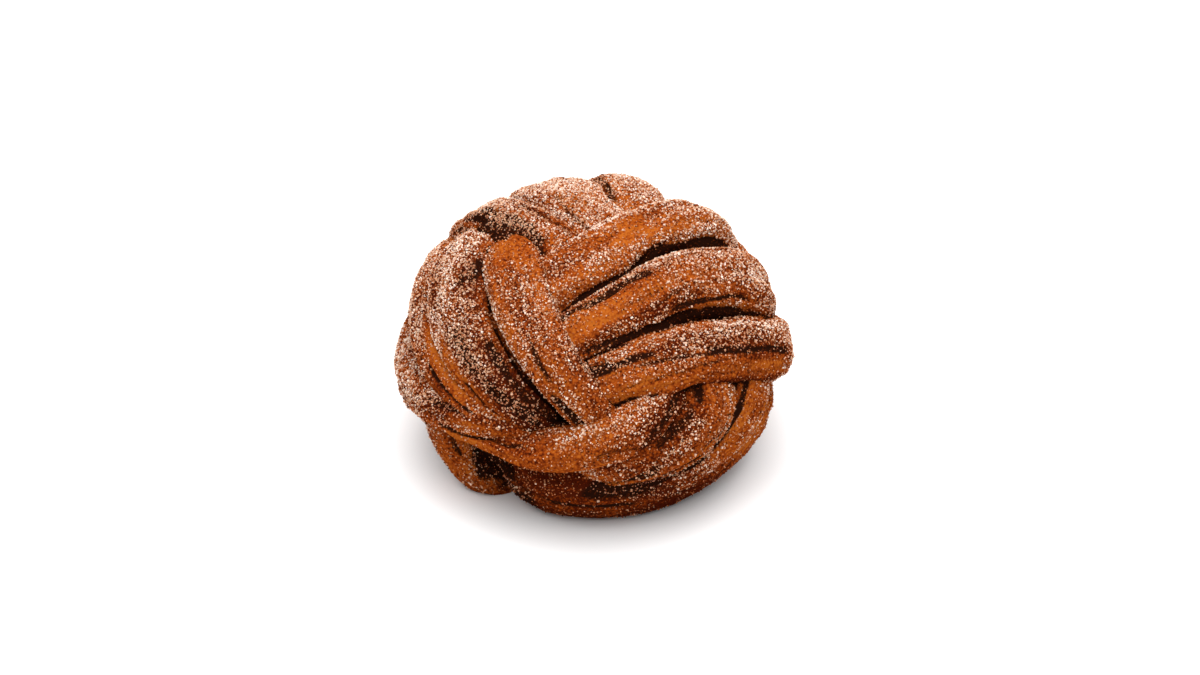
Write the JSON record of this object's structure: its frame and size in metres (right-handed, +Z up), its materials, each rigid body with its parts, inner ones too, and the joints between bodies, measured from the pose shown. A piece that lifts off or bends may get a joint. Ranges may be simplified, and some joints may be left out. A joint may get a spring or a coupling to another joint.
{
  "type": "cinnamon croissant bun",
  "caption": "Round bun of layered croissant dough strips woven over and under each other, with a flat foot and a coating of cinnamon sugar.",
  "frame": {"origin": "middle of the flat foot, at the level that the bun rests on", "axes": "+Z up, -Y to the front, where the short strip slopes down between the left flank and the three shoulder strips, and +X to the right as seen from the front"},
  "size_m": [0.099, 0.1002, 0.067],
  "materials": {
    "crust": "browned flaky croissant dough with darker cinnamon streaks, coated in coarse sugar"
  },
  "bodies": {
    "root": {"croissant": "crust"}
  },
  "joints": []
}
